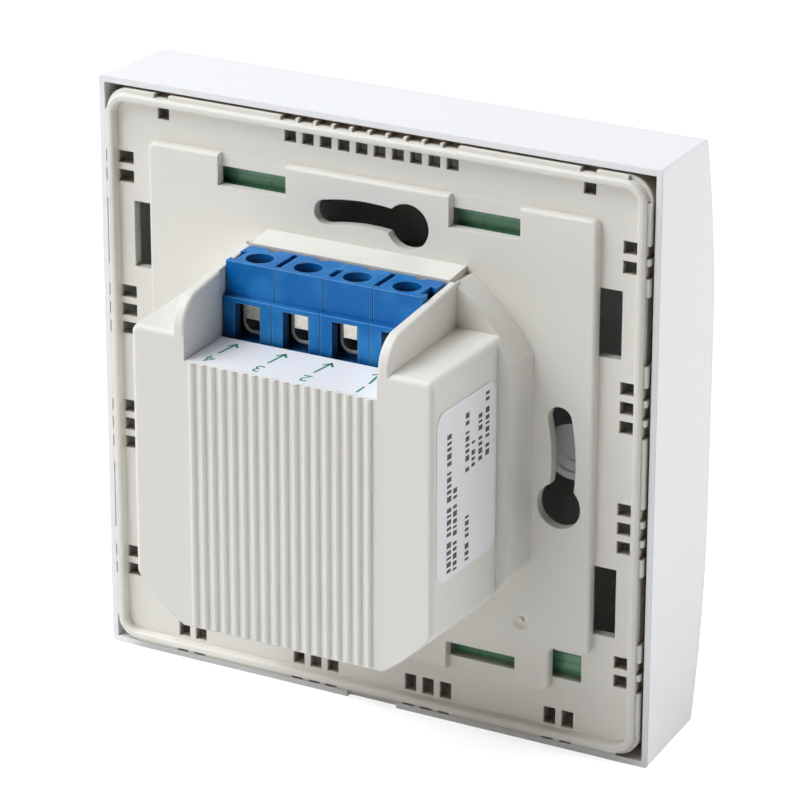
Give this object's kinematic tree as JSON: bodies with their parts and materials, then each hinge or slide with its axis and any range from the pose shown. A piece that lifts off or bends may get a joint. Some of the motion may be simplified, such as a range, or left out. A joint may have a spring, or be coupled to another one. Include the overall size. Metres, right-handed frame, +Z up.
{
  "type": "microwave presence detector",
  "caption": "Square wall plate presence detector with a pull-off curved cover, vented chassis, keyholes, ribbed rear housing and screw terminals.",
  "frame": {"origin": "centre of the wall plane, on the axis of the fixing keyholes' circle", "axes": "+Y into the wall, -Y out of the front, +Z up, +X right seen from the front"},
  "size_m": [0.086, 0.0453, 0.086],
  "materials": {
    "cover_white": "satin gloss moulded white",
    "window_smoke": "translucent polished",
    "chassis_offwhite": "fine satin off-white moulding",
    "housing_offwhite": "fine satin off-white moulding",
    "label_paper": "smooth coated label",
    "board_green": "green solder mask",
    "antenna_green": "green solder mask",
    "copper": "gold-flashed copper",
    "can_steel": "tinned steel",
    "zinc_steel": "zinc plated",
    "cage_steel": "zinc plated",
    "bar_brass": "tinned brass",
    "pin_brass": "gold-flashed pins in a black strip",
    "spacer_nylon": "natural nylon",
    "guide_clear": "clear polished",
    "package_black": "moulded package",
    "chip_grey": "fired ceramic",
    "relay_case": "moulded case",
    "film_case": "moulded case",
    "sleeve_black": "shrink sleeve",
    "ferrite": "ferrite drum",
    "varistor_blue": "dipped coating",
    "fuse_body": "coated body",
    "terminal_blue": "semi-gloss blue moulding"
  },
  "bodies": {
    "frame": {"rear_chassis": "chassis_offwhite", "rear_housing": "housing_offwhite", "terminal_label": "label_paper", "rating_label": "label_paper", "control_board": "board_green", "control_board_screws": "zinc_steel", "housing_screws": "zinc_steel", "power_board": "board_green", "link_pins": "pin_brass", "module_pins": "pin_brass", "module_spacers": "spacer_nylon", "antenna_board": "antenna_green", "antenna_patches": "copper", "oscillator_can": "can_steel", "light_guide": "guide_clear", "light_sensor": "package_black", "status_led": "guide_clear", "microcontroller": "package_black", "small_components": "chip_grey", "relay": "relay_case", "film_capacitor": "film_case", "smoothing_capacitor": "sleeve_black", "inductor": "ferrite", "varistor": "varistor_blue", "fuse_resistor": "fuse_body", "terminal_block_left": "terminal_blue", "terminal_block_right": "terminal_blue", "contact_bars": "bar_brass"},
    "cover": {"fascia_cover": "cover_white", "window_lens": "window_smoke"},
    "screw_1": {"terminal_screw_1": "zinc_steel"},
    "cage_1": {"clamp_cage_1": "cage_steel"},
    "screw_2": {"terminal_screw_2": "zinc_steel"},
    "cage_2": {"clamp_cage_2": "cage_steel"},
    "screw_3": {"terminal_screw_3": "zinc_steel"},
    "cage_3": {"clamp_cage_3": "cage_steel"},
    "screw_4": {"terminal_screw_4": "zinc_steel"},
    "cage_4": {"clamp_cage_4": "cage_steel"}
  },
  "joints": [
    {"name": "cover_pull", "type": "slide", "parent": "frame", "child": "cover", "axis": [0, -1, 0], "range_m": [0, 0.03]},
    {"name": "screw_1_turn", "type": "hinge", "parent": "frame", "child": "screw_1", "pos_m": [0.01125, 0.0091, 0.0224], "axis": [0, 0, -1], "range_deg": [0, 1225]},
    {"name": "cage_1_rise", "type": "slide", "parent": "frame", "child": "cage_1", "axis": [0, 0, 1], "range_m": [0, 0.0017]},
    {"name": "screw_2_turn", "type": "hinge", "parent": "frame", "child": "screw_2", "pos_m": [0.00375, 0.0091, 0.0224], "axis": [0, 0, -1], "range_deg": [0, 1225]},
    {"name": "cage_2_rise", "type": "slide", "parent": "frame", "child": "cage_2", "axis": [0, 0, 1], "range_m": [0, 0.0017]},
    {"name": "screw_3_turn", "type": "hinge", "parent": "frame", "child": "screw_3", "pos_m": [-0.00375, 0.0091, 0.0224], "axis": [0, 0, -1], "range_deg": [0, 1225]},
    {"name": "cage_3_rise", "type": "slide", "parent": "frame", "child": "cage_3", "axis": [0, 0, 1], "range_m": [0, 0.0017]},
    {"name": "screw_4_turn", "type": "hinge", "parent": "frame", "child": "screw_4", "pos_m": [-0.01125, 0.0091, 0.0224], "axis": [0, 0, -1], "range_deg": [0, 1225]},
    {"name": "cage_4_rise", "type": "slide", "parent": "frame", "child": "cage_4", "axis": [0, 0, 1], "range_m": [0, 0.0017]}
  ],
  "couplings": [
    {"joint": "screw_1_turn", "follows": "cage_1_rise", "rad_per_m": 12566},
    {"joint": "screw_2_turn", "follows": "cage_2_rise", "rad_per_m": 12566},
    {"joint": "screw_3_turn", "follows": "cage_3_rise", "rad_per_m": 12566},
    {"joint": "screw_4_turn", "follows": "cage_4_rise", "rad_per_m": 12566}
  ]
}
